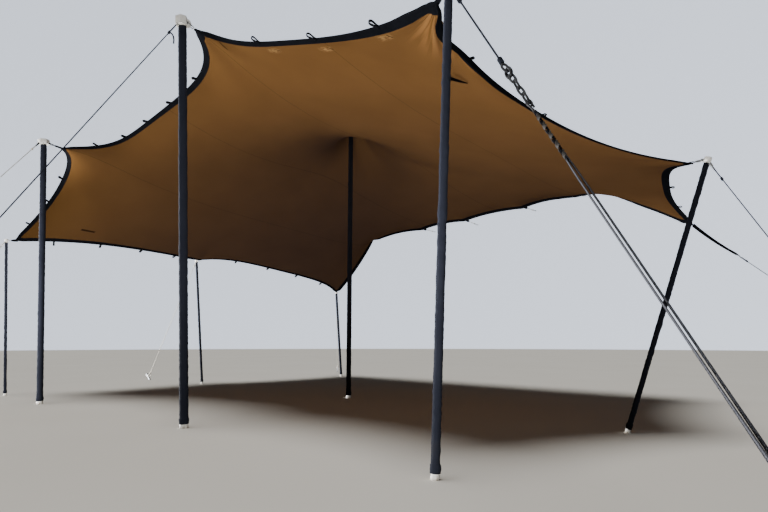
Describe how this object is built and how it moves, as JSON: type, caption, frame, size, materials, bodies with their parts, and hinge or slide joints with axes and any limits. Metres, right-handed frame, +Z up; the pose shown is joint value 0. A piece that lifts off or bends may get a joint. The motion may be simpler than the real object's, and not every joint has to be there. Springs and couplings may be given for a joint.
{
  "type": "stretch tent",
  "caption": "Open-sided stretch tent: a tan elastic cloth canopy with dark edge webbing, drawn over sleeved poles and held by guys and ground stakes.",
  "frame": {"origin": "centre of the centre pole's foot, on the ground", "axes": "+Z up; +X along the front edge towards the front right pole; +Y from the open front towards the rear edge"},
  "size_m": [14.9097, 12.9123, 4.91],
  "materials": {
    "cloth": "matte stretch knit, tan",
    "webbing": "woven black webbing",
    "sleeve": "dark navy cloth sleeve, matte",
    "tube": "white painted tube",
    "head_plastic": "white moulded plastic, weathered",
    "dark_rope": "braided dark rope",
    "pale_rope": "braided pale rope",
    "steel": "worn galvanised steel"
  },
  "bodies": {
    "root": {"cloth_strip_1": "cloth", "cloth_strip_2": "cloth", "cloth_strip_3": "cloth", "cloth_strip_4": "cloth", "cloth_strip_5": "cloth", "front_edge_webbing": "webbing", "right_edge_webbing": "webbing", "rear_edge_webbing": "webbing", "left_edge_webbing": "webbing", "rear_right_strap": "webbing", "front_right_lashing": "webbing", "front_right_strap_loop": "webbing", "front_left_pole": "tube", "front_left_sleeve": "sleeve", "front_left_head": "head_plastic", "front_left_guy_rope": "pale_rope", "front_left_stake": "steel", "front_inner_left_pole": "tube", "front_inner_left_sleeve": "sleeve", "front_inner_left_head": "head_plastic", "front_inner_left_guy_rope": "dark_rope", "front_inner_left_stake": "steel", "front_inner_right_pole": "tube", "front_inner_right_sleeve": "sleeve", "front_inner_right_head": "head_plastic", "front_inner_right_guy_rope": "dark_rope", "front_inner_right_stake": "steel", "front_right_pole": "tube", "front_right_sleeve": "sleeve", "front_right_head": "head_plastic", "front_right_guy_rope": "dark_rope", "front_right_stake": "steel", "right_middle_pole": "tube", "right_middle_sleeve": "sleeve", "right_middle_head": "head_plastic", "right_middle_guy_rope": "pale_rope", "right_middle_stake": "steel", "rear_left_pole": "tube", "rear_left_sleeve": "sleeve", "rear_left_head": "head_plastic", "rear_left_guy_rope": "pale_rope", "rear_left_stake": "steel", "left_middle_pole": "tube", "left_middle_sleeve": "sleeve", "left_middle_head": "head_plastic", "left_middle_guy_rope": "pale_rope", "left_middle_stake": "steel", "rear_right_guy_rope": "pale_rope", "rear_right_stake": "steel", "rear_tie_1": "pale_rope", "rear_tie_2": "pale_rope", "rear_tie_3": "pale_rope", "rear_tie_4": "pale_rope", "rear_tie_5": "pale_rope", "centre_pole": "tube", "centre_sleeve": "sleeve", "centre_head": "webbing"}
  },
  "joints": []
}
